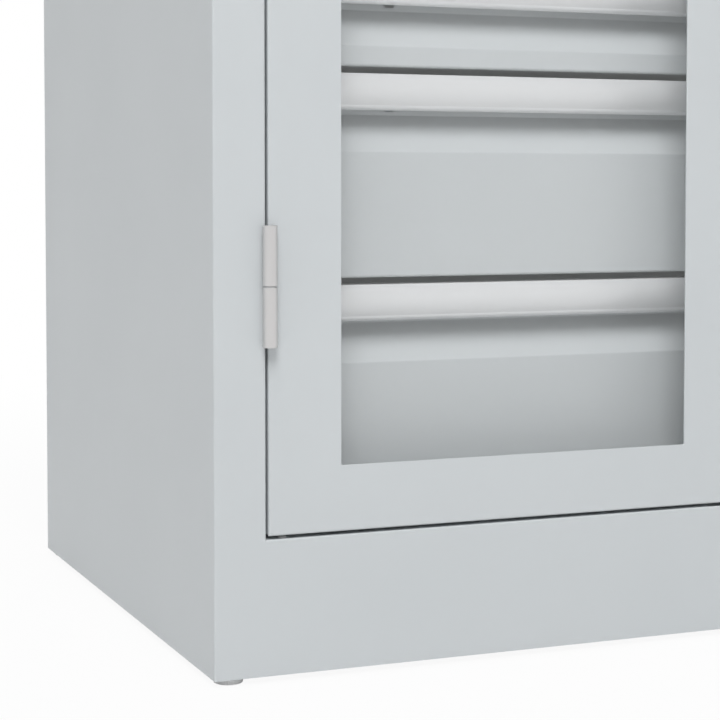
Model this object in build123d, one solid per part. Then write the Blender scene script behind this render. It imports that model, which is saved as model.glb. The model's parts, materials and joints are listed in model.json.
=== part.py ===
"""Heavy-duty storage cabinet of folded sheet steel with window doors, four drawers and a compartment above.

Millimetres. +X runs to the right along the front, +Y into the depth, +Z up. The origin lies on the floor, in
the middle of the outline that the carcass and the turn handle fill together.
"""

import os
from math import cos, hypot, radians, sin, tan, atan2

from build123d import *

# Outline
WIDTH = 1000.0
DEPTH = 600.0
HEIGHT = 1000.0
HANDLE_OUT = 34.0
FOOT_SHOW = 5.4

# Sheets and folds
SHEET = 1.5
DOOR_SHEET = 1.25
THIN_SHEET = 1.0
BEND = 1.2
SIDE_BEND = 0.3
EDGE_ROUND = 0.8

# Carcass
POST = 44.1
JAMB = 30.0
POST_BACK = 32.0
REAR_FLANGE = 20.0
LID_RIM = 12.0
TOP_RAIL = 48.0
RAIL_FLANGE = 25.0
RAIL_DROP = 15.0
PLINTH = 111.2
SILL = 45.0
FLOOR_REAR_DROP = 10.0
BASE_RAIL_LEG = 28.0
BASE_RAIL_UP = 8.0
BASE_RAIL_TOP = 100.0
BASE_RAIL_INSET = 46.0
RIB_WIDTH = 60.0
RIB_SLOPE = 12.0
RIB_DEEP = 6.0
RIB_SPOTS = (-0.25, 0.0, 0.25)
WALL_HOLE_RADIUS = 4.5
WALL_HOLE_IN = 70.0
WALL_HOLE_DOWN = 100.0

# Doors
DOOR_GAP = 2.1
DOOR_BOTTOM_GAP = 2.95
DOOR_MEET = 3.0
DOOR_THICK = 22.0
DOOR_LIP = 12.0
DOOR_ROUND = 1.6
RELIEF = 1.4
STILE = 63.0
RAIL_OF_DOOR = 54.4
WINDOW_ROUND = 1.5
PANE = 3.0
PANE_LAP = 14.0
PANE_TAPE = 0.2
RETAINER = 2.0
RETAINER_GRIP = 8.0
SCREW_HEAD = 3.2
SCREW_HIGH = 1.8

# Hinges
BARREL = 6.0
BARREL_OFF = 6.5
BARREL_LONG = 98.0
BARREL_BEVEL = 0.4
BARREL_SPLIT = 0.8
WASHER = 0.5
PIN = 3.0
PIN_REACH = 44.0
PIN_END_GAP = 1.5
RUNNING_FIT = 0.05
HINGE_UP = 205.2
AXIS_OUT = 0.65
WELD_OUT = 8.0
WELD_HIGH = 5.0
WELD_FOOT = 2.5
WELD_ROOT = 1.5
POST_WELD = 0.8

# Drawers
DRAWER_UNIT = 90.0
DRAWER_UNITS = (2, 2, 1, 1)
DRAWER_BASE = 132.7
DRAWER_GAP = 6.0
DRAWER_BACK_SET = 60.0
DRAWER_INSET = 110.0
RECESS_DOWN = 66.7
RECESS_DEEP = 26.0
RECESS_TOP = 34.6
RECESS_SLOT = 11.0
RECESS_SLOT_TALL = 6.8
RECESS_SLOT_DOWN = 28.4
RECESS_SLOT_IN = 78.0
FRONT_BODY = 40.0
FRONT_RETURN = 22.0
GRIP_FACE = 27.0
GRIP_BULGE = 3.5
GRIP_LIP = 4.2
GRIP_HEM = 5.0
GRIP_LEG = 9.5
TRAY_REAR = 47.5
TRAY_INSET = 22.0
TRAY_RIM = 8.0
TRAY_DROP = 16.0
TRAY_LIFT = 4.0

# Drawer rails and the pillars that carry them
RAIL_MID = 45.0
RAIL_SHORT = 14.0
RAIL_SET = 6.0
RAIL_TALL = 34.0
RAIL_DEEP = 12.0
RAIL_HOOK = 5.0
RUNNER_WEB = 20.0
RUNNER_ARM = 4.0
RUNNER_HEAD = 30.0
RUNNER_HEAD_THICK = 4.0
RUNNER_SLACK = 4.5
PILLAR_WIDE = 50.0
PILLAR_FLANGE = 15.0
PILLAR_FROM_ENDS = 12.0
PILLAR_SLOT = 5.0
PILLAR_SLOT_TALL = 26.0

# Shelf above the drawers
SHELF_TALL = 36.0
SHELF_TOE = 15.0
SHELF_SIDE_GAP = 1.0
SHELF_BACK_GAP = 2.0
BRACKET_LONG = 40.0
BRACKET_LEG = 28.0
BRACKET_SHARES = (0.25, 0.75)

# Feet
FOOT_IN = 17.0
FOOT_RADIUS = 12.0
FOOT_TALL = 8.0
FOOT_BEVEL = 0.6
STUD = 4.0
STUD_TOP = 46.0
FOOT_PLATE = 3.0
FOOT_PLATE_UP = 10.0
FOOT_PLATE_SIDE = 36.0
NUT_SIDE = 13.0
NUT_TALL = 6.5

# Door glides on the sill
GLIDE_RADIUS = 3.6
GLIDE_TALL = 1.5
GLIDE_IN = 14.0
GLIDE_BACK = 8.0

# Bolts of the left door
BOLT = 3.0
BOLT_LONG = 150.0
BOLT_IN = 24.0
BOLT_DEEP = 12.0
BOLT_HOLE = 3.6
KEEPER_LONG = 26.0
KEEPER_WIDE = 16.0
KEEPER_STOP_SIDE = 32.0
KEEPER_STOP_DOWN = 22.0
BOLT_BELOW = 1.0
BOLT_TAB = 6.0
BOLT_TAB_OUT = 20.0
GUIDE_BLOCK = 16.0
GUIDE_SPOTS = (20.0, 120.0)

# Lock of the right door
LOCK_IN = 33.0
LOCK_UP = 420.0
PLATE_WIDE = 36.0
PLATE_TALL = 64.0
PLATE_THICK = 3.0
SPINDLE = 5.0
SPINDLE_HOLE = 6.5
HANDLE_GAP = 0.5
HUB = 15.0
HUB_LONG = 20.0
LEVER_LONG = 80.0
LEVER_END = 8.0
LEVER_THICK = 14.0
LEVER_ROUND = 2.0
KEY = 7.0
KEY_DEEP = 10.0
KEY_SLOT = 1.2
KEY_SLOT_LONG = 7.0
TONGUE_WIDE = 16.0
TONGUE_LONG = 58.0
TONGUE_THICK = 3.0
TONGUE_GAP = 1.5

HALF = WIDTH / 2
FRONT = (HANDLE_OUT - DEPTH) / 2
BACK = FRONT + DEPTH
BASE = FOOT_SHOW
LID = HEIGHT - LID_RIM
SILL_TOP = BASE + PLINTH
RAIL_UNDER = HEIGHT - TOP_RAIL
INNER = HALF - SHEET
BACK_FACE = BACK - SHEET - THIN_SHEET
REAR_LINE = BACK_FACE - RIB_DEEP
DOOR_LOW = SILL_TOP + DOOR_BOTTOM_GAP
DOOR_HIGH = RAIL_UNDER - DOOR_BOTTOM_GAP
DOOR_SIDE = HALF - POST - DOOR_GAP
DOOR_MID = DOOR_MEET / 2
WINDOW_SIDE = DOOR_SIDE - STILE
WINDOW_MID = DOOR_MID + STILE
WINDOW_LOW = DOOR_LOW + RAIL_OF_DOOR
WINDOW_HIGH = DOOR_HIGH - RAIL_OF_DOOR
DOOR_REAR = FRONT + DOOR_THICK
AXIS_X = DOOR_SIDE + AXIS_OUT
AXIS_Y = FRONT - BARREL_OFF
POST_WELD_NEAR = DOOR_GAP - AXIS_OUT + SIDE_BEND + SHEET
HINGE_LOW = BASE + PLINTH + HINGE_UP
HINGE_HIGH = DOOR_LOW + DOOR_HIGH - HINGE_LOW
HINGES = (HINGE_LOW, HINGE_HIGH)
DRAWER_FACE = FRONT + DRAWER_BACK_SET
DRAWER_SIDE = HALF - DRAWER_INSET
TRAY_FRONT = DRAWER_FACE + FRONT_BODY
TRAY_LONG = REAR_LINE - TRAY_REAR - TRAY_FRONT
TRAY_SIDE = DRAWER_SIDE - TRAY_INSET
PILLAR_FACE = DRAWER_SIDE - RAIL_SET
RAIL_START = TRAY_FRONT + RAIL_SET
RAIL_LONG = TRAY_LONG - RAIL_SHORT
PILLAR_FIRST = RAIL_START + PILLAR_FROM_ENDS
PILLAR_LAST = RAIL_START + RAIL_LONG - PILLAR_FROM_ENDS - PILLAR_WIDE
SHELF_UNDER = BASE + DRAWER_BASE + DRAWER_UNIT * sum(DRAWER_UNITS) + DRAWER_GAP
SHELF_TOP = SHELF_UNDER + SHELF_TALL


def save(name, *solids):
    """One named node: a single solid, or a group of equal pieces."""
    shape = solids[0] if len(solids) == 1 else Compound(children=list(solids))
    export_step(shape, os.path.join("parts", name + ".step"))


def block(x0, x1, y0, y1, z0, z1):
    """A box between two corners."""
    return Pos((x0 + x1) / 2, (y0 + y1) / 2, (z0 + z1) / 2) * Box(abs(x1 - x0), abs(y1 - y0), abs(z1 - z0))


def post_z(x, y, radius, z0, z1):
    """A cylinder standing along Z."""
    return Pos(x, y, (z0 + z1) / 2) * Cylinder(radius, z1 - z0)


def post_y(x, z, radius, y0, y1):
    """A cylinder lying along Y."""
    return Pos(x, (y0 + y1) / 2, z) * Rot(90, 0, 0) * Cylinder(radius, y1 - y0)


def other(solid):
    """The mirror image on the other side of the cabinet."""
    return mirror(solid, about=Plane.YZ)


def pair(solid):
    """A piece and its mirror image."""
    return [solid, other(solid)]


def rounded(corners, radii):
    """Edges along a chain of corners, each inner one rounded by an arc."""
    edges = []
    start = corners[0]
    for i in range(1, len(corners) - 1):
        (ax, ay), (bx, by), (cx, cy) = corners[i - 1], corners[i], corners[i + 1]
        one = atan2(by - ay, bx - ax)
        two = atan2(cy - by, cx - bx)
        turn = atan2(sin(two - one), cos(two - one))
        reach = radii[i] * tan(abs(turn) / 2)
        enter = (bx - reach * cos(one), by - reach * sin(one))
        leave = (bx + reach * cos(two), by + reach * sin(two))
        middle = (cos(two) - cos(one), sin(two) - sin(one))
        size = hypot(*middle)
        sag = radii[i] / cos(turn / 2) - radii[i]
        bulge = (bx + middle[0] / size * sag, by + middle[1] / size * sag)
        edges.append(Line(start, enter))
        edges.append(ThreePointArc(enter, bulge, leave))
        start = leave
    edges.append(Line(start, corners[-1]))
    return edges


def folded(path, thick, bend=BEND):
    """Section of a folded sheet: the path is one skin, the metal lies left of it, or right if negative."""
    angles = [atan2(b[1] - a[1], b[0] - a[0]) for a, b in zip(path, path[1:])]
    skins = []
    for offset in (0.0, thick):
        skin = []
        radii = []
        for i, (x, y) in enumerate(path):
            before = angles[max(i - 1, 0)]
            after = angles[min(i, len(angles) - 1)]
            turn = atan2(sin(after - before), cos(after - before))
            lean = offset / (1 + cos(turn))
            skin.append((x - lean * (sin(before) + sin(after)), y + lean * (cos(before) + cos(after))))
            inside = (turn > 0) == (offset == max(0.0, thick))
            radii.append(bend if inside else bend + abs(thick))
        skins.append((skin, radii))
    edges = rounded(*skins[0])
    edges.append(Line(skins[0][0][-1], skins[1][0][-1]))
    edges += rounded(skins[1][0][::-1], skins[1][1][::-1])
    edges.append(Line(skins[1][0][0], skins[0][0][0]))
    return Face(Wire(edges))


def flat(points):
    """A straight-sided outline."""
    return Face(Wire.make_polygon([(x, y, 0) for x, y in points], close=True))


def along_x(face, x0, x1):
    """A section drawn in (y, z), pulled along X."""
    plane = Plane(origin=(x0, 0, 0), x_dir=(0, 1, 0), z_dir=(1, 0, 0))
    return extrude(plane.location * face, amount=x1 - x0, dir=(1, 0, 0))


def along_y(face, y0, y1):
    """A section drawn in (x, z), pulled along Y."""
    plane = Plane(origin=(0, y1, 0), x_dir=(1, 0, 0), z_dir=(0, -1, 0))
    return extrude(plane.location * face, amount=y1 - y0, dir=(0, -1, 0))


def along_z(face, z0, z1):
    """A section drawn in (x, y), pulled along Z."""
    return extrude(Pos(0, 0, z0) * face, amount=z1 - z0, dir=(0, 0, 1))


def side_panel():
    """Left side: rear flange, wall and front post, with the post's jamb folded in above the plinth only."""
    wall = [(-HALF + REAR_FLANGE, BACK), (-HALF, BACK), (-HALF, FRONT), (-HALF + POST, FRONT)]
    jamb = [(-HALF + POST, FRONT + JAMB), (-HALF + POST - POST_BACK, FRONT + JAMB)]
    low = along_z(folded(wall, SHEET, SIDE_BEND), BASE, SILL_TOP)
    high = along_z(folded(wall + jamb, SHEET, SIDE_BEND), SILL_TOP, LID)
    return low + high


def back_panel():
    """Back sheet with three swaged ribs and two holes for wall fixing."""
    edge = INNER - 2 * BEND
    path = [(-edge, BACK - SHEET)]
    for share in RIB_SPOTS:
        left = share * WIDTH - RIB_WIDTH / 2
        right = share * WIDTH + RIB_WIDTH / 2
        path += [(left, BACK - SHEET), (left + RIB_SLOPE, BACK - SHEET - RIB_DEEP)]
        path += [(right - RIB_SLOPE, BACK - SHEET - RIB_DEEP), (right, BACK - SHEET)]
    path.append((edge, BACK - SHEET))
    panel = along_z(folded(path, -THIN_SHEET), BASE, LID)
    for x in (-HALF + WALL_HOLE_IN, HALF - WALL_HOLE_IN):
        panel -= post_y(x, HEIGHT - WALL_HOLE_DOWN, WALL_HOLE_RADIUS, BACK_FACE - SHEET, BACK)
    return panel


def lid():
    """Shallow folded cap over the four walls."""
    cap = block(-HALF, HALF, FRONT, BACK, LID, HEIGHT)
    top = cap.faces().sort_by(Axis.Z)[-1]
    cap = fillet(top.edges(), BEND + SHEET)
    return cap - block(-INNER, INNER, FRONT + SHEET, BACK - SHEET, LID - SHEET, HEIGHT - SHEET)


def keeper_slot():
    """Oblong cut in the rail's underside that takes the upper bolt of the left door."""
    cut = extrude(SlotOverall(KEEPER_LONG, KEEPER_WIDE), 4 * SHEET)
    return Pos(-BOLT_IN, FRONT + BOLT_DEEP, RAIL_UNDER - 2 * SHEET) * cut


def top_rail():
    """Rail over the doors, with the slot for the upper bolt."""
    path = [(FRONT + RAIL_FLANGE, LID), (FRONT, LID), (FRONT, RAIL_UNDER)]
    path += [(FRONT + SILL, RAIL_UNDER), (FRONT + SILL, RAIL_UNDER + RAIL_DROP)]
    rail = along_x(folded(path, SHEET), -HALF + POST, HALF - POST)
    return rail - keeper_slot()


def plinth():
    """Plinth plate between the posts, its upper front edge rounded."""
    plate = block(-HALF + POST, HALF - POST, FRONT, FRONT + SHEET, BASE, SILL_TOP)
    edge = plate.edges().filter_by(Axis.X).group_by(Axis.Z)[-1].sort_by(Axis.Y)[0]
    return fillet(edge, BEND)


def door_sill():
    """Sill in two lengths, with a gap that takes the lower bolt and a stop plate welded on behind the gap."""
    under = SILL_TOP - SHEET
    left, right = -BOLT_IN - KEEPER_LONG / 2, -BOLT_IN + KEEPER_LONG / 2
    lengths = ((-HALF + POST, left), (right, HALF - POST))
    strips = [block(low, high, FRONT + SHEET, FRONT + SILL, under, SILL_TOP) for low, high in lengths]
    rear = FRONT + SILL
    ends = (left - KEEPER_STOP_SIDE, right + KEEPER_STOP_SIDE)
    stop = block(*ends, rear, rear + SHEET, under - KEEPER_STOP_DOWN, under)
    return strips + [stop]


def floor_panel():
    """Cabinet floor that continues the sill, with tabs under both posts and its rear edge turned down."""
    path = [(FRONT + SILL, SILL_TOP), (REAR_LINE, SILL_TOP), (REAR_LINE, SILL_TOP - FLOOR_REAR_DROP)]
    panel = along_x(folded(path, -SHEET), -INNER, INNER)
    tab = block(-INNER, -HALF + POST, FRONT + SHEET, FRONT + SILL, SILL_TOP - SHEET, SILL_TOP)
    return panel + tab + other(tab)


def rear_base_rail():
    """Channel that closes the base at the back."""
    path = [(REAR_LINE - BASE_RAIL_LEG, BASE + BASE_RAIL_UP), (REAR_LINE, BASE + BASE_RAIL_UP)]
    path += [(REAR_LINE, BASE_RAIL_TOP), (REAR_LINE - BASE_RAIL_LEG, BASE_RAIL_TOP)]
    return along_x(folded(path, SHEET), -HALF + BASE_RAIL_INSET, HALF - BASE_RAIL_INSET)


def shelf():
    """Shelf over the drawers, its front edge folded to a flange with a toe."""
    rear = REAR_LINE - SHELF_BACK_GAP
    path = [(DRAWER_FACE + SHELF_TOE, SHELF_UNDER), (DRAWER_FACE, SHELF_UNDER), (DRAWER_FACE, SHELF_TOP)]
    path += [(rear, SHELF_TOP), (rear, SHELF_TOP - SHELF_TOE)]
    return along_x(folded(path, -SHEET), -INNER + SHELF_SIDE_GAP, INNER - SHELF_SIDE_GAP)


def shelf_brackets():
    """Angle brackets on the side walls under the shelf."""
    top = SHELF_TOP - SHEET
    section = folded([(-INNER, top - BRACKET_LEG), (-INNER, top), (-INNER + BRACKET_LEG, top)], -SHEET)
    pieces = []
    start = PILLAR_FIRST + PILLAR_WIDE + PILLAR_FLANGE
    span = PILLAR_LAST - PILLAR_FLANGE - start
    for share in BRACKET_SHARES:
        y = start + span * share
        pieces += pair(along_y(section, y - BRACKET_LONG / 2, y + BRACKET_LONG / 2))
    return pieces


def pillars():
    """Hat-section pillars between the side walls and the rails, slotted behind every drawer unit."""
    pieces = []
    for y in (PILLAR_FIRST, PILLAR_LAST):
        far = y + PILLAR_WIDE
        web = -PILLAR_FACE - SHEET
        path = [(-INNER, y - PILLAR_FLANGE), (-INNER, y), (web, y)]
        path += [(web, far), (-INNER, far), (-INNER, far + PILLAR_FLANGE)]
        pillar = along_z(folded(path, -SHEET), SILL_TOP, SHELF_TOP - SHEET)
        for step in range(sum(DRAWER_UNITS)):
            z = BASE + DRAWER_BASE + DRAWER_UNIT * (step + 1)
            middle = y + PILLAR_WIDE / 2
            low = z - PILLAR_SLOT_TALL / 2
            pillar -= block(web - SHEET, web + 2 * SHEET, middle - PILLAR_SLOT / 2,
                            middle + PILLAR_SLOT / 2, low, low + PILLAR_SLOT_TALL)
        pieces += pair(pillar)
    return pieces


def drawer_levels():
    """Lower and upper edge of each drawer front, from the bottom up."""
    levels = []
    z = BASE + DRAWER_BASE
    for units in DRAWER_UNITS:
        levels.append((z + DRAWER_GAP, z + units * DRAWER_UNIT))
        z += units * DRAWER_UNIT
    return levels


def cabinet_rails():
    """Hooked channels on the pillars, two for each drawer."""
    pieces = []
    wall = -PILLAR_FACE
    for low, _ in drawer_levels():
        mid = low + RAIL_MID
        down, up = mid - RAIL_TALL / 2, mid + RAIL_TALL / 2
        path = [(wall + RAIL_DEEP, down + RAIL_HOOK), (wall + RAIL_DEEP, down), (wall, down), (wall, up)]
        path += [(wall + RAIL_DEEP, up), (wall + RAIL_DEEP, up - RAIL_HOOK)]
        pieces += pair(along_y(folded(path, -SHEET, EDGE_ROUND), RAIL_START, RAIL_START + RAIL_LONG))
    return pieces


def screw_head():
    """Hexagon head that stands up from the origin."""
    return extrude(RegularPolygon(SCREW_HEAD, 6, major_radius=False), SCREW_HIGH)


def rail_screws():
    """Hexagon heads of the screws that hold the cabinet rails to the pillars."""
    pieces = []
    inner = -PILLAR_FACE + SHEET
    ends = PILLAR_FROM_ENDS + PILLAR_WIDE / 2
    for low, _ in drawer_levels():
        for y in (RAIL_START + ends, RAIL_START + RAIL_LONG - ends):
            pieces += pair(Pos(inner, y, low + RAIL_MID) * Rot(0, 90, 0) * screw_head())
    return pieces


def drawer_rails(low):
    """Headed glide rails on the tray that run in the cabinet rails."""
    mid = low + RAIL_MID
    wall = -TRAY_SIDE
    tip = -PILLAR_FACE + SHEET + RUNNER_SLACK
    neck = tip + RUNNER_HEAD_THICK
    web = wall - SHEET
    half = [(wall, RUNNER_WEB / 2), (web, RUNNER_WEB / 2), (web, RUNNER_ARM / 2), (neck, RUNNER_ARM / 2)]
    half += [(neck, RUNNER_HEAD / 2), (tip, RUNNER_HEAD / 2)]
    outline = [(x, mid + z) for x, z in half] + [(x, mid - z) for x, z in half[::-1]]
    return pair(along_y(flat(outline), RAIL_START, RAIL_START + RAIL_LONG))


def drawer_tray(low, high):
    """Folded tray with turned-out rims and closed ends."""
    floor = low + TRAY_LIFT
    top = high - TRAY_DROP
    rear = TRAY_FRONT + TRAY_LONG
    path = [(-TRAY_SIDE - TRAY_RIM, top), (-TRAY_SIDE, top), (-TRAY_SIDE, floor)]
    path += [(TRAY_SIDE, floor), (TRAY_SIDE, top), (TRAY_SIDE + TRAY_RIM, top)]
    tray = along_y(folded(path, THIN_SHEET, EDGE_ROUND), TRAY_FRONT, rear)
    side = TRAY_SIDE - THIN_SHEET / 2
    base = floor + THIN_SHEET / 2
    ends = block(-side, side, TRAY_FRONT, rear, base, top)
    ends -= block(-WIDTH, WIDTH, TRAY_FRONT + THIN_SHEET, rear - THIN_SHEET, 0, HEIGHT)
    return tray + ends


def drawer_front(low, high):
    """Front sheet: flat panel, slanted recess, upright back wall with two slots, closed ends."""
    fold = high - RECESS_DOWN
    deep = DRAWER_FACE + RECESS_DEEP
    top = high - RECESS_TOP
    path = [(TRAY_FRONT, low + FRONT_RETURN), (TRAY_FRONT, low), (DRAWER_FACE, low), (DRAWER_FACE, fold)]
    path += [(deep, top), (deep, high - SHEET)]
    sheet = along_x(folded(path, -THIN_SHEET), -DRAWER_SIDE, DRAWER_SIDE)
    slot = SlotOverall(RECESS_SLOT, RECESS_SLOT_TALL)
    for x in (-DRAWER_SIDE + RECESS_SLOT_IN, DRAWER_SIDE - RECESS_SLOT_IN):
        spot = Plane(origin=(x, deep + 2 * SHEET, high - RECESS_SLOT_DOWN), x_dir=(1, 0, 0), z_dir=(0, -1, 0))
        sheet -= extrude(spot * slot, 4 * SHEET)
    start = DRAWER_FACE + THIN_SHEET / 2
    wall = deep + THIN_SHEET / 2
    rim = high - TRAY_DROP
    corner = [(start, low + BEND), (start, fold), (wall, top), (wall, rim), (TRAY_FRONT, rim)]
    corner += [(TRAY_FRONT, low + THIN_SHEET / 2), (start + BEND, low + THIN_SHEET / 2)]
    end = along_x(flat(corner), -DRAWER_SIDE, -DRAWER_SIDE + THIN_SHEET)
    return sheet + end + other(end)


def drawer_grip(high):
    """Roll-formed grip strip: back leg, top web, bulged face and a lip rolled back and up."""
    deep = DRAWER_FACE + RECESS_DEEP
    face = DRAWER_FACE
    lip = high - GRIP_FACE
    bottom = lip - GRIP_LIP
    hem_y = face + 2 * GRIP_LIP
    middle = (high + lip) / 2
    corner = BEND * (1 - cos(radians(45)))
    outer = [
        Line((deep, high - GRIP_LEG), (deep, high)),
        Line((deep, high), (face + BEND, high)),
        ThreePointArc((face + BEND, high), (face + corner, high - corner), (face, high - BEND)),
        ThreePointArc((face, high - BEND), (face - GRIP_BULGE, middle), (face, lip)),
        ThreePointArc((face, lip), (face + GRIP_LIP, bottom), (hem_y, lip)),
        Line((hem_y, lip), (hem_y, lip + GRIP_HEM)),
        Line((hem_y, lip + GRIP_HEM), (hem_y - SHEET, lip + GRIP_HEM)),
        Line((hem_y - SHEET, lip + GRIP_HEM), (hem_y - SHEET, lip)),
        ThreePointArc((hem_y - SHEET, lip), (face + GRIP_LIP, bottom + SHEET), (face + SHEET, lip)),
        ThreePointArc((face + SHEET, lip), (face + SHEET - GRIP_BULGE, middle), (face + SHEET, high - SHEET)),
        Line((face + SHEET, high - SHEET), (deep - SHEET, high - SHEET)),
        Line((deep - SHEET, high - SHEET), (deep - SHEET, high - GRIP_LEG)),
        Line((deep - SHEET, high - GRIP_LEG), (deep, high - GRIP_LEG)),
    ]
    return along_x(Face(Wire(outer)), -DRAWER_SIDE, DRAWER_SIDE)


def door_leaf():
    """Left leaf: folded pan with a window, turned-in lips and small reliefs at the corners."""
    x0, x1 = -DOOR_SIDE, -DOOR_MID
    pan = block(x0, x1, FRONT, DOOR_REAR, DOOR_LOW, DOOR_HIGH)
    face = pan.faces().sort_by(Axis.Y)[0]
    pan = fillet(face.edges(), DOOR_ROUND)
    t = DOOR_SHEET
    pan -= block(x0 + t, x1 - t, FRONT + t, DOOR_REAR - t, DOOR_LOW + t, DOOR_HIGH - t)
    pan -= block(x0 + DOOR_LIP, x1 - DOOR_LIP, DOOR_REAR - 2 * t, DOOR_REAR + t, DOOR_LOW + DOOR_LIP,
                 DOOR_HIGH - DOOR_LIP)
    hole = block(-WINDOW_SIDE, -WINDOW_MID, FRONT - t, FRONT + 2 * t, WINDOW_LOW, WINDOW_HIGH)
    pan -= fillet(hole.edges().filter_by(Axis.Y), WINDOW_ROUND)
    for x in (x0, x1):
        for z in (DOOR_LOW, DOOR_HIGH):
            pan -= post_y(x, z, RELIEF, FRONT + DOOR_ROUND, DOOR_REAR + t)
    return pan


def lock_stem_hole():
    """Clearance hole for the lock's spindle through the right leaf."""
    return post_y(LOCK_IN, DOOR_LOW + LOCK_UP, SPINDLE_HOLE, FRONT - DOOR_SHEET, FRONT + 2 * DOOR_SHEET)


def bolt_holes():
    """Holes for the two bolts in the upper and lower returns of the left leaf."""
    y = FRONT + BOLT_DEEP
    low = post_z(-BOLT_IN, y, BOLT_HOLE, DOOR_LOW - DOOR_SHEET, DOOR_LOW + 2 * DOOR_SHEET)
    return low + post_z(-BOLT_IN, y, BOLT_HOLE, DOOR_HIGH - 2 * DOOR_SHEET, DOOR_HIGH + DOOR_SHEET)


def door_pane():
    """Clear pane behind the left leaf's window."""
    y = FRONT + DOOR_SHEET + PANE_TAPE
    return block(-WINDOW_SIDE - PANE_LAP, -WINDOW_MID + PANE_LAP, y, y + PANE, WINDOW_LOW - PANE_LAP,
                 WINDOW_HIGH + PANE_LAP)


def pane_retainer():
    """Frame of angle section that holds the pane against the leaf."""
    skin = FRONT + DOOR_SHEET
    pane_back = skin + 2 * PANE_TAPE + PANE
    lap = PANE_LAP + PANE_TAPE
    out = lap + RETAINER + RETAINER_GRIP
    low, high = WINDOW_LOW, WINDOW_HIGH
    left, right = -WINDOW_SIDE, -WINDOW_MID
    grip = lap - RETAINER_GRIP
    wall = lap + RETAINER
    rear = pane_back + RETAINER
    before = skin - RETAINER
    frame = block(left - wall, right + wall, skin, rear, low - wall, high + wall)
    frame += block(left - out, right + out, skin, skin + RETAINER, low - out, high + out)
    frame -= block(left - lap, right + lap, before, pane_back, low - lap, high + lap)
    return frame - block(left - grip, right + grip, before, rear + RETAINER, low - grip, high + grip)


def retainer_screws():
    """Hexagon screw heads round the pane retainer of the left leaf."""
    y = FRONT + DOOR_SHEET + RETAINER
    off = PANE_LAP + PANE_TAPE + RETAINER + RETAINER_GRIP / 2
    span = WINDOW_HIGH - WINDOW_LOW
    pieces = []
    for x in (-WINDOW_SIDE - off, -WINDOW_MID + off):
        for share in (0.0, 1 / 3, 2 / 3, 1.0):
            pieces.append(Pos(x, y, WINDOW_LOW + share * span) * Rot(-90, 0, 0) * screw_head())
    for z in (WINDOW_LOW - off, WINDOW_HIGH + off):
        pieces.append(Pos(-(WINDOW_SIDE + WINDOW_MID) / 2, y, z) * Rot(-90, 0, 0) * screw_head())
    return pieces


def barrel(z0, z1):
    """A hinge barrel with softened ends on the left axis."""
    tube = post_z(-AXIS_X, AXIS_Y, BARREL, z0, z1)
    return chamfer(tube.edges().filter_by(GeomType.CIRCLE), BARREL_BEVEL)


def weld(side, near, far, z0, z1):
    """Weld bead from a barrel to the face behind it, left (-1) or right (1) of the axis."""
    points = [(near, BARREL_OFF), (far, BARREL_OFF), (BARREL - EDGE_ROUND, BARREL_OFF - WELD_HIGH)]
    points.append((WELD_FOOT, WELD_ROOT))
    outline = [(-AXIS_X + side * x, AXIS_Y + y) for x, y in points]
    return along_z(flat(outline), z0 + WELD_FOOT, z1 - WELD_FOOT)


def frame_barrel(mid):
    """Lower half of a left hinge, welded to the post, bored for the pin."""
    z0, z1 = mid - BARREL_LONG / 2, mid - BARREL_SPLIT / 2
    half = barrel(z0, z1) + weld(-1, POST_WELD_NEAR, POST_WELD_NEAR + POST_WELD, z0, z1)
    return half - post_z(-AXIS_X, AXIS_Y, PIN, mid - PIN_REACH, z1 + SHEET)


def door_barrel(mid):
    """Upper half of a left hinge, welded to the leaf, turning on the pin."""
    z0, z1 = mid + BARREL_SPLIT / 2, mid + BARREL_LONG / 2
    half = barrel(z0, z1) + weld(1, WELD_FOOT, WELD_OUT, z0, z1)
    return half - post_z(-AXIS_X, AXIS_Y, PIN + RUNNING_FIT, z0 - SHEET, mid + PIN_REACH + PIN_END_GAP)


def hinge_pin(mid):
    """Pin of a left hinge."""
    return post_z(-AXIS_X, AXIS_Y, PIN, mid - PIN_REACH, mid + PIN_REACH)


def hinge_washer(mid):
    """Thin ring that the door's barrel stands on."""
    z0 = mid - BARREL_SPLIT / 2
    ring = post_z(-AXIS_X, AXIS_Y, BARREL - EDGE_ROUND, z0, z0 + WASHER)
    return ring - post_z(-AXIS_X, AXIS_Y, PIN, z0 - SHEET, z0 + 2 * SHEET)


def foot_spots():
    """Where the four feet stand."""
    near, far = FRONT + FOOT_IN, BACK - FOOT_IN
    side = HALF - FOOT_IN
    fronts = {"front_left": (-side, near), "front_right": (side, near)}
    return fronts | {"rear_left": (-side, far), "rear_right": (side, far)}


def foot(x, y):
    """Levelling foot: a glide with a soft lower edge and its stud."""
    disc = post_z(0, 0, FOOT_RADIUS, 0, FOOT_TALL)
    disc = chamfer(disc.edges().filter_by(GeomType.CIRCLE), FOOT_BEVEL)
    return Pos(x, y, 0) * (disc + post_z(0, 0, STUD, FOOT_TALL - SHEET, STUD_TOP))


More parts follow.
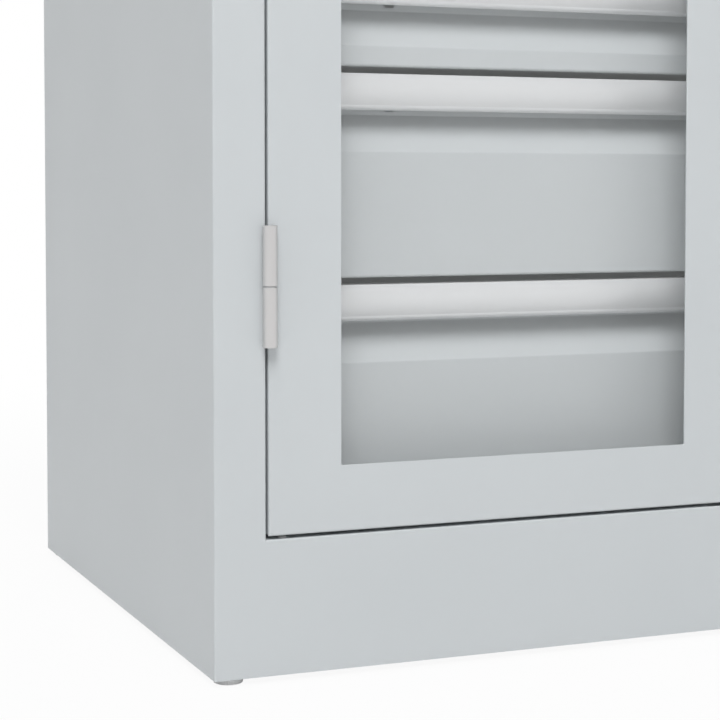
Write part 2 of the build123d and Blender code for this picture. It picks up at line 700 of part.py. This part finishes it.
def foot_plate(x, y):
    """Corner plate over a foot, touching both walls of its corner."""
    side = 1 if x > 0 else -1
    wall_y = FRONT + SHEET if y < (FRONT + BACK) / 2 else BACK_FACE
    depth = FOOT_PLATE_SIDE if y < (FRONT + BACK) / 2 else -FOOT_PLATE_SIDE
    corner_x = side * INNER
    plate = block(corner_x, corner_x - side * FOOT_PLATE_SIDE, wall_y, wall_y + depth, FOOT_PLATE_UP,
                  FOOT_PLATE_UP + FOOT_PLATE)
    inner = min(plate.edges().filter_by(Axis.Z), key=lambda e: hypot(e.center().X, e.center().Y))
    plate = chamfer(inner, FOOT_IN / 2)
    plate -= Pos(corner_x, wall_y, FOOT_PLATE_UP + FOOT_PLATE / 2) * Box(2 * BEND, 2 * BEND, 2 * FOOT_PLATE)
    return plate - post_z(x, y, STUD + RUNNING_FIT, FOOT_PLATE_UP - SHEET, FOOT_PLATE_UP + 2 * FOOT_PLATE)


def foot_nut(x, y):
    """Hexagon nut welded on a corner plate."""
    z0 = FOOT_PLATE_UP + FOOT_PLATE
    nut = extrude(RegularPolygon(NUT_SIDE / 2, 6, major_radius=False), NUT_TALL)
    return Pos(x, y, z0) * (nut - post_z(0, 0, STUD + RUNNING_FIT, -SHEET, 2 * NUT_TALL))


def door_glide():
    """Low button on the sill that the door's corner passes over."""
    x, y = -DOOR_SIDE + GLIDE_IN, FRONT + GLIDE_BACK
    button = post_z(x, y, GLIDE_RADIUS, SILL_TOP, SILL_TOP + GLIDE_TALL)
    return chamfer(button.edges().filter_by(GeomType.CIRCLE).sort_by(Axis.Z)[-1], EDGE_ROUND)


def bolt(up):
    """Sliding bolt of the left door with its thumb tab: the upper one, or the lower one if up is -1."""
    end = DOOR_HIGH if up > 0 else DOOR_LOW
    tip = end - up * BOLT_BELOW
    inner = tip - up * BOLT_LONG
    y = FRONT + BOLT_DEEP
    rod = post_z(-BOLT_IN, y, BOLT, min(tip, inner), max(tip, inner))
    rod = chamfer(rod.edges().filter_by(GeomType.CIRCLE), EDGE_ROUND)
    mid = (tip + inner) / 2
    return rod + post_y(-BOLT_IN, mid, BOLT_TAB / 2, y, y + BOLT_TAB_OUT)


def bolt_guides():
    """Guide blocks for the two bolts, standing on the leaf's inner skin."""
    y0, y1 = FRONT + DOOR_SHEET, FRONT + BOLT_DEEP + BOLT + 2 * SHEET
    pieces = []
    for end, up in ((DOOR_HIGH, 1), (DOOR_LOW, -1)):
        for spot in GUIDE_SPOTS:
            z0, z1 = end - up * spot, end - up * (spot + GUIDE_BLOCK)
            guide = block(-BOLT_IN - GUIDE_BLOCK / 2, -BOLT_IN + GUIDE_BLOCK / 2, y0, y1, z0, z1)
            guide = chamfer(guide.edges().filter_by(Axis.Z).sort_by(Axis.Y)[-2:], SHEET)
            low, high = min(z0, z1), max(z0, z1)
            bore = post_z(-BOLT_IN, FRONT + BOLT_DEEP, BOLT + RUNNING_FIT, low - SHEET, high + SHEET)
            pieces.append(guide - bore)
    return pieces


def escutcheon():
    """Plate with round ends under the turn handle."""
    z = DOOR_LOW + LOCK_UP
    shape = SlotOverall(PLATE_TALL, PLATE_WIDE, rotation=90)
    plate = extrude(Plane(origin=(LOCK_IN, FRONT, z), x_dir=(1, 0, 0), z_dir=(0, -1, 0)) * shape, PLATE_THICK)
    plate = chamfer(plate.faces().sort_by(Axis.Y)[0].edges(), EDGE_ROUND)
    return plate - post_y(LOCK_IN, z, SPINDLE + RUNNING_FIT, FRONT - 2 * PLATE_THICK, FRONT + PLATE_THICK)


def turn_handle():
    """Hub with a tapering lever that hangs down at rest, bored for the key cylinder and the spindle."""
    z = DOOR_LOW + LOCK_UP
    near = FRONT - PLATE_THICK - HANDLE_GAP
    out = FRONT - HANDLE_OUT
    reach = LEVER_LONG - LEVER_END
    outline = make_hull(Circle(HUB).edges() + (Pos(0, -reach) * Circle(LEVER_END)).edges())
    plane = Plane(origin=(LOCK_IN, out + LEVER_THICK, z), x_dir=(1, 0, 0), z_dir=(0, -1, 0))
    lever = extrude(plane * outline, LEVER_THICK)
    lever = fillet(lever.faces().sort_by(Axis.Y)[0].edges(), LEVER_ROUND)
    lever += post_y(LOCK_IN, z, HUB - LEVER_ROUND, out + LEVER_THICK - SHEET, near)
    lever -= post_y(LOCK_IN, z, KEY + RUNNING_FIT, out - SHEET, out + KEY_DEEP + HANDLE_GAP)
    return lever - post_y(LOCK_IN, z, SPINDLE, out + HUB_LONG, near + SHEET)


def spindle():
    """Round spindle from the hub to the tongue."""
    z = DOOR_LOW + LOCK_UP
    return post_y(LOCK_IN, z, SPINDLE, FRONT - HANDLE_OUT + HUB_LONG, DOOR_REAR + TONGUE_GAP)


def tongue():
    """Locking tongue behind the door, upright at rest and behind the other leaf when turned."""
    z = DOOR_LOW + LOCK_UP
    rear = DOOR_REAR + TONGUE_GAP + TONGUE_THICK
    plane = Plane(origin=(LOCK_IN, rear, z), x_dir=(1, 0, 0), z_dir=(0, -1, 0))
    tip = Pos(0, TONGUE_LONG) * Circle(TONGUE_WIDE / 4)
    shape = make_hull(Circle(TONGUE_WIDE / 2).edges() + tip.edges())
    return extrude(plane * shape, TONGUE_THICK)


def key_cylinder():
    """Lock cylinder in the handle with its key slot."""
    z = DOOR_LOW + LOCK_UP
    out = FRONT - HANDLE_OUT
    core = post_y(LOCK_IN, z, KEY, out, out + KEY_DEEP)
    slot = block(LOCK_IN - KEY_SLOT / 2, LOCK_IN + KEY_SLOT / 2, out - SHEET, out + KEY_DEEP / 2,
                 z - KEY_SLOT_LONG / 2, z + KEY_SLOT_LONG / 2)
    return core - slot


def build_carcass():
    """Everything that stands still."""
    left = side_panel()
    save("left_side_panel", left)
    save("right_side_panel", other(left))
    save("back_panel", back_panel())
    save("lid", lid())
    save("top_rail", top_rail())
    save("plinth_panel", plinth())
    save("door_sill", *door_sill())
    save("floor_panel", floor_panel())
    save("rear_base_rail", rear_base_rail())
    save("shelf", shelf())
    save("shelf_brackets", *shelf_brackets())
    save("rail_pillars", *pillars())
    save("cabinet_rails", *cabinet_rails())
    save("rail_screws", *rail_screws())
    save("door_glides", *pair(door_glide()))
    save("hinge_frame_barrels", *[s for mid in HINGES for s in pair(frame_barrel(mid))])
    save("hinge_pins", *[s for mid in HINGES for s in pair(hinge_pin(mid))])
    save("hinge_washers", *[s for mid in HINGES for s in pair(hinge_washer(mid))])
    spots = foot_spots()
    save("foot_plates", *[foot_plate(x, y) for x, y in spots.values()])
    save("foot_nuts", *[foot_nut(x, y) for x, y in spots.values()])
    for name, (x, y) in spots.items():
        save(name + "_foot", foot(x, y))


def build_doors():
    """Both doors with their panes, hinges and locks."""
    leaf = door_leaf()
    save("left_door_leaf", leaf - bolt_holes())
    save("right_door_leaf", other(leaf) - lock_stem_hole())
    halves = [door_barrel(mid) for mid in HINGES]
    parts = {"pane": [door_pane()], "pane_retainer": [pane_retainer()], "retainer_screws": retainer_screws()}
    parts["hinge_barrels"] = halves
    for name, pieces in parts.items():
        save("left_door_" + name, *pieces)
        save("right_door_" + name, *[other(s) for s in pieces])
    save("left_door_bolt_guides", *bolt_guides())
    save("left_door_upper_bolt", bolt(1))
    save("left_door_lower_bolt", bolt(-1))
    save("lock_escutcheon", escutcheon())
    save("turn_handle", turn_handle())
    save("lock_spindle", spindle())
    save("lock_tongue", tongue())
    save("key_cylinder", key_cylinder())


def build_drawers():
    """The drawers from the bottom up."""
    for number, (low, high) in enumerate(drawer_levels(), 1):
        name = f"drawer_{number}_"
        save(name + "tray", drawer_tray(low, high))
        save(name + "front", drawer_front(low, high))
        save(name + "grip", drawer_grip(high))
        save(name + "rails", *drawer_rails(low))


os.makedirs("parts", exist_ok=True)
build_carcass()
build_doors()
build_drawers()
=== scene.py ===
"""Look of the storage cabinet: paint, satin grips, zinc, plastics and panes, with screws and feet."""

import json
import math

import bpy
import numpy as np
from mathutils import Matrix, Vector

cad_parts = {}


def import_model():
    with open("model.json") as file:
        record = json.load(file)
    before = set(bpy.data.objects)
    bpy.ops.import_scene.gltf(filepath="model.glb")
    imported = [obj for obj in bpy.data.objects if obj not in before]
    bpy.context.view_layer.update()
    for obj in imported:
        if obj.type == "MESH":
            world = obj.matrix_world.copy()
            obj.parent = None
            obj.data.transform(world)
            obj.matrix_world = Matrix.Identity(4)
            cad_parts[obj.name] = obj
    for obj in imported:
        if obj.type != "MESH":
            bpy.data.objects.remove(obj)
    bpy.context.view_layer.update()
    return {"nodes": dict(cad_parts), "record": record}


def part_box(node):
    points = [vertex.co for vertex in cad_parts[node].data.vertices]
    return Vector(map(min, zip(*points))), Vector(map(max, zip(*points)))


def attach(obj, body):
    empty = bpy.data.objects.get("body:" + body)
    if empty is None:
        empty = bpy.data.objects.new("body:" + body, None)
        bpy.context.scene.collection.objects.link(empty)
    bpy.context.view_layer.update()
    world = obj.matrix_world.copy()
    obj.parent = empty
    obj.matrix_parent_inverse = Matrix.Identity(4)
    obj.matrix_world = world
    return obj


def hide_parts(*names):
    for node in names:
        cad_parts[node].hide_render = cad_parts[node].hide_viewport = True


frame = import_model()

scene = bpy.context.scene

# Finishes, as linear colours; the drawer paint holds painted shade and the foot grey holds painted light
PAINT = (0.600, 0.630, 0.645)
PAINT_SHADE = (0.578, 0.608, 0.624)
# Drawer paint: the body paint about 5% darker, painted shade for the shade behind the doors
SHADED_DRAWER_PAINT = (0.568, 0.596, 0.610)
SHADED_DRAWER_PAINT_DARK = (0.547, 0.575, 0.590)
GRIP_SATIN = (0.755, 0.762, 0.772)
GRIP_SHADE = (0.725, 0.733, 0.744)
HINGE_COAT = (0.640, 0.632, 0.630)
HINGE_SHADE = (0.600, 0.592, 0.590)
ZINC = (0.560, 0.575, 0.590)
ZINC_SHADE = (0.400, 0.415, 0.435)
# Foot grey: a light grey plastic lifted near white, painted light for the shade under the cabinet
FOOT_GREY_WITH_PAINTED_LIGHT = (0.930, 0.935, 0.938)
FOOT_TONE_WITH_PAINTED_LIGHT = (0.880, 0.886, 0.890)
GLIDE_PALE = (0.560, 0.560, 0.555)
GLIDE_SHADE = (0.500, 0.500, 0.495)
HANDLE_DARK = (0.050, 0.054, 0.058)
HANDLE_SHADE = (0.034, 0.037, 0.040)
NICKEL = (0.620, 0.610, 0.590)
NICKEL_SHADE = (0.540, 0.530, 0.512)
PANE_TINT = (0.930, 0.960, 0.955)

# Screws and feet, in metres
HEAD_RADIUS = 0.0032
HEAD_TALL = 0.0018
SOCKET = 0.0014
FOOT_TALL = 0.008
FOOT_EDGE = 0.0006
FOOT_RIB = 0.00014
STUD = 0.004
STUD_TOP = 0.046
STUD_GROOVE = 0.0006
STUD_PITCH = 0.00125
FEET = ("front_left", "front_right", "rear_left", "rear_right")


def surface_group():
    """Shared surface in object coordinates: a broad tone, a drawn grain, a cell value and a height."""
    group = bpy.data.node_groups.new("surface_grain", "ShaderNodeTree")
    sockets = group.interface
    for name, value in (("Broad Scale", 4.0), ("Grain Scale", 700.0), ("Cell Scale", 100.0)):
        sockets.new_socket(name, in_out="INPUT", socket_type="NodeSocketFloat").default_value = value
    stretch = sockets.new_socket("Stretch", in_out="INPUT", socket_type="NodeSocketVector")
    stretch.default_value = (1.0, 1.0, 1.0)
    for name in ("Tone", "Grain", "Cell", "Height"):
        sockets.new_socket(name, in_out="OUTPUT", socket_type="NodeSocketFloat")
    nodes, links = group.nodes, group.links
    inputs, outputs = nodes.new("NodeGroupInput"), nodes.new("NodeGroupOutput")
    place = nodes.new("ShaderNodeTexCoord")
    drawn = nodes.new("ShaderNodeVectorMath")
    drawn.operation = "MULTIPLY"
    links.new(place.outputs["Object"], drawn.inputs[0])
    links.new(inputs.outputs["Stretch"], drawn.inputs[1])
    broad = nodes.new("ShaderNodeTexNoise")
    broad.inputs["Detail"].default_value = 3.0
    links.new(place.outputs["Object"], broad.inputs["Vector"])
    links.new(inputs.outputs["Broad Scale"], broad.inputs["Scale"])
    grain = nodes.new("ShaderNodeTexNoise")
    grain.inputs["Detail"].default_value = 2.0
    links.new(drawn.outputs["Vector"], grain.inputs["Vector"])
    links.new(inputs.outputs["Grain Scale"], grain.inputs["Scale"])
    cell = nodes.new("ShaderNodeTexVoronoi")
    links.new(place.outputs["Object"], cell.inputs["Vector"])
    links.new(inputs.outputs["Cell Scale"], cell.inputs["Scale"])
    shade = nodes.new("ShaderNodeSeparateColor")
    links.new(cell.outputs["Color"], shade.inputs["Color"])
    tone = nodes.new("ShaderNodeMapRange")
    tone.inputs["From Min"].default_value = 0.3
    tone.inputs["From Max"].default_value = 0.7
    links.new(broad.outputs["Fac"], tone.inputs["Value"])
    height = nodes.new("ShaderNodeMath")
    height.operation = "MULTIPLY_ADD"
    height.inputs[1].default_value = 0.85
    links.new(grain.outputs["Fac"], height.inputs[0])
    links.new(broad.outputs["Fac"], height.inputs[2])
    links.new(tone.outputs["Result"], outputs.inputs["Tone"])
    links.new(grain.outputs["Fac"], outputs.inputs["Grain"])
    links.new(shade.outputs["Red"], outputs.inputs["Cell"])
    links.new(height.outputs["Value"], outputs.inputs["Height"])
    return group


SURFACE = surface_group()


def finish(name, light, dark, rough, metal=0.0, broad=4.0, grain=700.0, stretch=(1.0, 1.0, 1.0), bump=0.05,
           depth=0.0004, mottle="Tone", cell=100.0):
    """A finish: two near colours mixed by tone, grain or cells, roughness by grain, bump by height."""
    material = bpy.data.materials.new(name)
    material.use_nodes = True
    nodes, links = material.node_tree.nodes, material.node_tree.links
    shader = nodes["Principled BSDF"]
    shader.inputs["Metallic"].default_value = metal
    surface = nodes.new("ShaderNodeGroup")
    surface.node_tree = SURFACE
    surface.inputs["Broad Scale"].default_value = broad
    surface.inputs["Grain Scale"].default_value = grain
    surface.inputs["Cell Scale"].default_value = cell
    surface.inputs["Stretch"].default_value = stretch
    colour = nodes.new("ShaderNodeMix")
    colour.data_type = "RGBA"
    colour.inputs["A"].default_value = (*dark, 1.0)
    colour.inputs["B"].default_value = (*light, 1.0)
    links.new(surface.outputs[mottle], colour.inputs["Factor"])
    links.new(colour.outputs["Result"], shader.inputs["Base Color"])
    span = nodes.new("ShaderNodeMapRange")
    span.inputs["From Min"].default_value = 0.3
    span.inputs["From Max"].default_value = 0.7
    span.inputs["To Min"].default_value = rough[0]
    span.inputs["To Max"].default_value = rough[1]
    links.new(surface.outputs["Grain"], span.inputs["Value"])
    links.new(span.outputs["Result"], shader.inputs["Roughness"])
    relief = nodes.new("ShaderNodeBump")
    relief.inputs["Strength"].default_value = bump
    relief.inputs["Distance"].default_value = depth
    links.new(surface.outputs["Height"], relief.inputs["Height"])
    links.new(relief.outputs["Normal"], shader.inputs["Normal"])
    return material


def pane_finish():
    """Clear pane: a thin even tint with a low alpha, its gloss broken a little by the broad tone."""
    material = finish("clear_pane", PANE_TINT, PANE_TINT, (0.02, 0.06), broad=3.0, grain=30.0, bump=0.01,
                      depth=0.0002)
    shader = material.node_tree.nodes["Principled BSDF"]
    shader.inputs["Alpha"].default_value = 0.05
    shader.inputs["IOR"].default_value = 1.45
    return material


FINISHES = {
    "body_paint": finish("body_paint", PAINT, PAINT_SHADE, (0.42, 0.52)),
    # The drawer fronts get the darkened body paint: painted shade.
    "drawer_paint": finish("drawer_paint", SHADED_DRAWER_PAINT, SHADED_DRAWER_PAINT_DARK, (0.42, 0.52), broad=5.0),
    "grip_metal": finish("grip_satin", GRIP_SATIN, GRIP_SHADE, (0.32, 0.42), metal=0.2, broad=9.0,
                         grain=900.0, stretch=(0.02, 1.0, 1.0), bump=0.03, mottle="Grain"),
    "hinge_steel": finish("hinge_coat", HINGE_COAT, HINGE_SHADE, (0.30, 0.40), metal=0.6, broad=30.0,
                          grain=420.0, stretch=(1.0, 1.0, 0.01), bump=0.03, mottle="Grain"),
    "zinc_steel": finish("zinc_steel", ZINC, ZINC_SHADE, (0.24, 0.42), metal=1.0, broad=60.0, grain=500.0,
                         mottle="Cell", cell=140.0),
    "pane": pane_finish(),
    # The feet get the lifted grey: their real light grey plus painted light.
    "foot_plastic": finish("foot_plastic", FOOT_GREY_WITH_PAINTED_LIGHT, FOOT_TONE_WITH_PAINTED_LIGHT, (0.45, 0.62), broad=60.0, grain=1500.0,
                           bump=0.12),
    "glide_plastic": finish("glide_plastic", GLIDE_PALE, GLIDE_SHADE, (0.38, 0.5), broad=80.0, grain=1500.0),
    "handle_plastic": finish("handle_plastic", HANDLE_DARK, HANDLE_SHADE, (0.42, 0.6), broad=40.0,
                             grain=1800.0, bump=0.2),
    "lock_metal": finish("nickel", NICKEL, NICKEL_SHADE, (0.16, 0.28), metal=1.0, broad=90.0, grain=900.0,
                         stretch=(1.0, 1.0, 0.05), mottle="Grain"),
}

for part in frame["record"]["subparts"]:
    solid = frame["nodes"][part["node"]]
    solid.data.materials.clear()
    solid.data.materials.append(FINISHES[part["material_slot"]])


def stacked(name, rings, body, slot, *nodes):
    """A closed piece of stacked rings: rings[s, i, j] is point j of ring i in stack s, end rings capped."""
    stacks, rows, columns, _ = rings.shape
    index = np.arange(stacks * rows * columns).reshape(stacks, rows, columns)
    ahead = np.roll(index, -1, 2)
    corners = (index[:, :-1], ahead[:, :-1], ahead[:, 1:], index[:, 1:])
    faces = np.stack(corners, -1).reshape(-1, 4).tolist()
    faces += index[:, 0, ::-1].tolist() + index[:, -1].tolist()
    mesh = bpy.data.meshes.new(name)
    mesh.from_pydata(rings.reshape(-1, 3).tolist(), [], faces)
    mesh.shade_smooth()
    mesh.set_sharp_from_angle(angle=math.radians(35.0))
    mesh.materials.append(FINISHES[slot])
    piece = bpy.data.objects.new(name, mesh)
    scene.collection.objects.link(piece)
    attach(piece, body)
    if nodes:
        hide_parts(*nodes)


def spots_of(node, reach=0.006):
    """Middles of a node's equal small solids: points gathered within reach of the first one left."""
    solid = frame["nodes"][node]
    points = np.empty(len(solid.data.vertices) * 3, np.float32)
    solid.data.vertices.foreach_get("co", points)
    points = points.reshape(-1, 3)
    spots = []
    while len(points):
        near = np.linalg.norm(points - points[0], axis=1) < 2 * reach
        spots.append((points[near].min(0) + points[near].max(0)) / 2)
        points = points[~near]
    return np.array(spots)


def screw_heads(name, node, body, out):
    """Domed heads with a six-sided socket: radius and height per ring, socket radius a / cos(folded angle).

    The heads stand along out from the inner face of the node's solids, each at the middle of its solid.
    """
    angle = np.linspace(0, 2 * np.pi, 49)[:-1]
    six = SOCKET / np.cos((angle + np.pi / 6) % (np.pi / 3) - np.pi / 6)
    shares = np.array((1.0, 1.0, 0.97, 0.88, 0.74, 0.60))
    highs = np.array((0.0, 0.35, 0.62, 0.84, 0.96, 1.0)) * HEAD_TALL
    radius = np.concatenate((np.outer(shares * HEAD_RADIUS, np.ones_like(angle)), [six * 1.08, six, six]))
    high = np.concatenate((highs, (HEAD_TALL, HEAD_TALL * 0.94, HEAD_TALL * 0.35)))
    spots = spots_of(node)
    outward = np.where(spots[:, :1] * out[0] != 0, -np.sign(spots[:, :1]), 1.0) * np.abs(out)
    first = np.cross(outward, (0.0, 0.0, 1.0))
    second = np.cross(outward, first)
    flat = np.einsum("ij,sk->sijk", radius * np.cos(angle), first)
    flat += np.einsum("ij,sk->sijk", radius * np.sin(angle), second)
    base = spots - outward * HEAD_TALL / 2
    rings = base[:, None, None, :] + flat + high[None, :, None, None] * outward[:, None, None, :]
    stacked(name, rings, body, "zinc_steel", node)


def foot_pads():
    """Ribbed pads: the radius along the profile, drawn in by a cosine of the angle where the wall stands."""
    angle = np.linspace(0, 2 * np.pi, 289)[:-1]
    for corner in FEET:
        low, high = (np.array(edge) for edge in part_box(corner + "_foot"))
        wide = (high[0] - low[0]) / 2
        edge = FOOT_EDGE
        radius = np.array((wide - edge, wide - 0.3 * edge, wide, wide, wide, wide - 0.3 * edge, wide - edge))
        tall = np.array((0.0, 0.3 * edge, edge, FOOT_TALL / 2))
        tall = np.concatenate((tall, FOOT_TALL - tall[2::-1]))
        ribbed = np.array((0.0, 0.3, 1.0, 1.0, 1.0, 0.3, 0.0))
        spread = radius[:, None] - FOOT_RIB * ribbed[:, None] * (0.5 - 0.5 * np.cos(36 * angle))
        middle = (low + high) / 2
        rings = np.stack((middle[0] + spread * np.cos(angle), middle[1] + spread * np.sin(angle),
                          np.broadcast_to(tall[:, None], spread.shape)), -1)
        stacked(corner + "_pad", rings[None], corner + "_leveller", "foot_plastic", corner + "_foot")


def foot_studs():
    """Threaded studs: a groove climbs one pitch per turn, r = R - g |2 frac(z / p - a / 2pi) - 1|."""
    angle = np.linspace(0, 2 * np.pi, 33)[:-1]
    tall = np.arange(FOOT_TALL - STUD_PITCH, STUD_TOP, STUD_PITCH / 8)
    turn = (tall[:, None] / STUD_PITCH - angle / (2 * np.pi)) % 1.0
    spread = STUD - STUD_GROOVE * np.abs(2 * turn - 1)
    for corner in FEET:
        low, high = (np.array(edge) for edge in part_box(corner + "_foot"))
        middle = (low + high) / 2
        rings = np.stack((middle[0] + spread * np.cos(angle), middle[1] + spread * np.sin(angle),
                          np.broadcast_to(tall[:, None], spread.shape)), -1)
        stacked(corner + "_stud", rings[None], corner + "_leveller", "zinc_steel")


def seen_by(nodes, links):
    """One where a ray comes from the camera, a gloss or a pane, and none elsewhere."""
    path = nodes.new("ShaderNodeLightPath")
    seen, shown = nodes.new("ShaderNodeMath"), nodes.new("ShaderNodeMath")
    seen.operation = shown.operation = "MAXIMUM"
    links.new(path.outputs["Is Camera Ray"], seen.inputs[0])
    links.new(path.outputs["Is Glossy Ray"], seen.inputs[1])
    links.new(seen.outputs["Value"], shown.inputs[0])
    links.new(path.outputs["Is Transmission Ray"], shown.inputs[1])
    return shown.outputs["Value"]


def floor():
    """Pale round floor: its height is 0 for every angle of a circle of 30 m."""
    angle = np.linspace(0, 2 * np.pi, 49)[:-1]
    points = np.stack((30 * np.cos(angle), 30 * np.sin(angle), np.zeros_like(angle)), -1)
    mesh = bpy.data.meshes.new("floor")
    mesh.from_pydata(points.tolist(), [], [list(range(len(points)))])
    disc = bpy.data.objects.new("floor", mesh)
    scene.collection.objects.link(disc)
    material = bpy.data.materials.new("floor_white")
    material.use_nodes = True
    nodes, links = material.node_tree.nodes, material.node_tree.links
    shader = nodes["Principled BSDF"]
    shader.inputs["Base Color"].default_value = (0.70, 0.70, 0.70, 1.0)
    shader.inputs["Roughness"].default_value = 0.9
    shader.inputs["Specular IOR Level"].default_value = 0.0
    glow = nodes.new("ShaderNodeEmission")
    mixed = nodes.new("ShaderNodeMixShader")
    place = nodes.new("ShaderNodeTexCoord")
    away = nodes.new("ShaderNodeVectorMath")
    away.operation = "LENGTH"
    links.new(place.outputs["Object"], away.inputs[0])
    paler = nodes.new("ShaderNodeMapRange")
    paler.interpolation_type = "SMOOTHSTEP"
    paler.inputs["From Min"].default_value = 0.7
    paler.inputs["From Max"].default_value = 2.2
    paler.inputs["To Min"].default_value = 0.93
    links.new(away.outputs["Value"], paler.inputs["Value"])
    share = nodes.new("ShaderNodeMath")
    share.operation = "MULTIPLY"
    links.new(seen_by(nodes, links), share.inputs[0])
    links.new(paler.outputs["Result"], share.inputs[1])
    links.new(share.outputs["Value"], mixed.inputs["Fac"])
    links.new(shader.outputs["BSDF"], mixed.inputs[1])
    links.new(glow.outputs["Emission"], mixed.inputs[2])
    links.new(mixed.outputs["Shader"], nodes["Material Output"].inputs["Surface"])
    disc.data.materials.append(material)


def world():
    """Even dome: the camera and the panes see plain white, and gloss sees it fade towards the zenith."""
    sky = bpy.data.worlds.new("studio")
    scene.world = sky
    sky.use_nodes = True
    nodes, links = sky.node_tree.nodes, sky.node_tree.links
    dome = nodes["Background"]
    dome.inputs["Color"].default_value = (1.0, 1.0, 1.0, 1.0)
    dome.inputs["Strength"].default_value = 0.5
    white = nodes.new("ShaderNodeBackground")
    white.inputs["Color"].default_value = (1.0, 1.0, 1.0, 1.0)
    white.inputs["Strength"].default_value = 1.0
    above = nodes.new("ShaderNodeBackground")
    above.inputs["Color"].default_value = (1.0, 1.0, 1.0, 1.0)
    place = nodes.new("ShaderNodeTexCoord")
    split = nodes.new("ShaderNodeSeparateXYZ")
    links.new(place.outputs["Generated"], split.inputs["Vector"])
    fade = nodes.new("ShaderNodeMapRange")
    fade.inputs["To Min"].default_value = 1.0
    fade.inputs["To Max"].default_value = 0.25
    links.new(split.outputs["Z"], fade.inputs["Value"])
    links.new(fade.outputs["Result"], above.inputs["Strength"])
    mixed = nodes.new("ShaderNodeMixShader")
    links.new(seen_by(nodes, links), mixed.inputs["Fac"])
    links.new(dome.outputs["Background"], mixed.inputs[1])
    links.new(white.outputs["Background"], mixed.inputs[2])
    path = nodes.new("ShaderNodeLightPath")
    gloss = nodes.new("ShaderNodeMixShader")
    links.new(path.outputs["Is Glossy Ray"], gloss.inputs["Fac"])
    links.new(mixed.outputs["Shader"], gloss.inputs[1])
    links.new(above.outputs["Background"], gloss.inputs[2])
    links.new(gloss.outputs["Shader"], nodes["World Output"].inputs["Surface"])


def lamp(name, place, power, wide=2.5):
    """Soft lamp 3.2 m tall, turned to the middle of the cabinet and left out of its reflections."""
    data = bpy.data.lights.new(name, "AREA")
    data.shape = "RECTANGLE"
    data.size = wide
    data.size_y = 3.2
    data.energy = power
    light = bpy.data.objects.new(name, data)
    scene.collection.objects.link(light)
    light.location = place
    light.visible_glossy = False
    ahead = np.subtract((0.0, 0.0, 0.5), place)
    light.rotation_euler = (math.atan2(math.hypot(ahead[0], ahead[1]), -ahead[2]), 0.0,
                            math.atan2(ahead[1], ahead[0]) - math.pi / 2)


def camera():
    """The photograph's camera: left of the cabinet, looking a little down and right, with a lens shift."""
    data = bpy.data.cameras.new("view")
    data.sensor_width = 36.0
    data.lens = 92.942
    data.shift_x = 0.00305
    data.shift_y = -0.125
    eye = bpy.data.objects.new("view", data)
    scene.collection.objects.link(eye)
    eye.location = (-0.948926, -1.68926, 0.401936)
    eye.rotation_euler = (math.radians(90.0 - 2.576), 0.0, math.radians(-22.159))
    scene.camera = eye


screw_heads("rail_screw_heads", "rail_screws", "cabinet", (1.0, 0.0, 0.0))
screw_heads("left_retainer_screw_heads", "left_door_retainer_screws", "left_door", (0.0, 1.0, 0.0))
screw_heads("right_retainer_screw_heads", "right_door_retainer_screws", "right_door", (0.0, 1.0, 0.0))
foot_pads()
foot_studs()
floor()
world()
lamp("key", (-1.31, -2.94, 4.33), 174.0, 1.8)
lamp("left_fill", (-4.6, -0.4, 2.6), 8.0)
lamp("right_fill", (4.6, 0.6, 2.6), 42.0)
lamp("rear_fill", (0.0, 4.6, 2.6), 42.0)
camera()
scene.view_settings.view_transform = "Standard"
